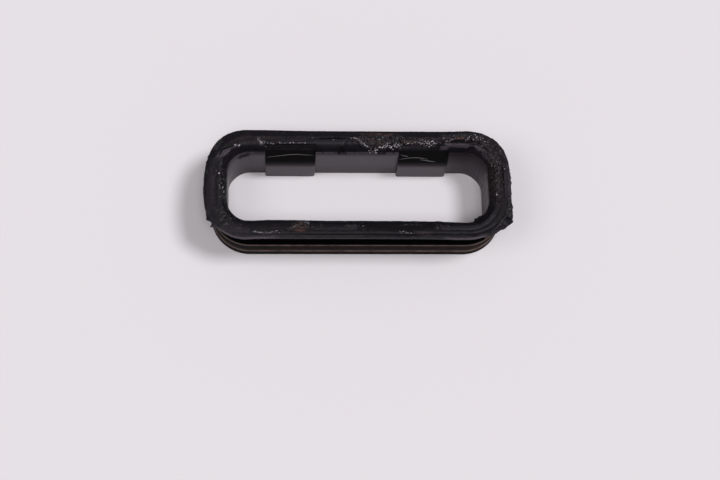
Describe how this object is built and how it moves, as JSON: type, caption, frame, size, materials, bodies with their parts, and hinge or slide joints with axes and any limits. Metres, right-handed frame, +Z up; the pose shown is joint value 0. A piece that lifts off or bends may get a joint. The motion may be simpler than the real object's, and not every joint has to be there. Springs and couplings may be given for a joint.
{
  "type": "connector sealing ring",
  "caption": "Long rounded rubber ring with sealing ribs and a thin flange lip, which seals the rim of an electrical connector.",
  "frame": {"origin": "middle of the opening, on the plane of the base", "axes": "+X along the ring's long side, +Y towards the side with the two inner pads, +Z up from the base to the flange"},
  "size_m": [0.0506, 0.0188, 0.01],
  "materials": {
    "rubber": "moulded black rubber, satin on the inner wall, torn and dusty on the top face"
  },
  "bodies": {
    "root": {"seal_ring": "rubber"}
  },
  "joints": []
}
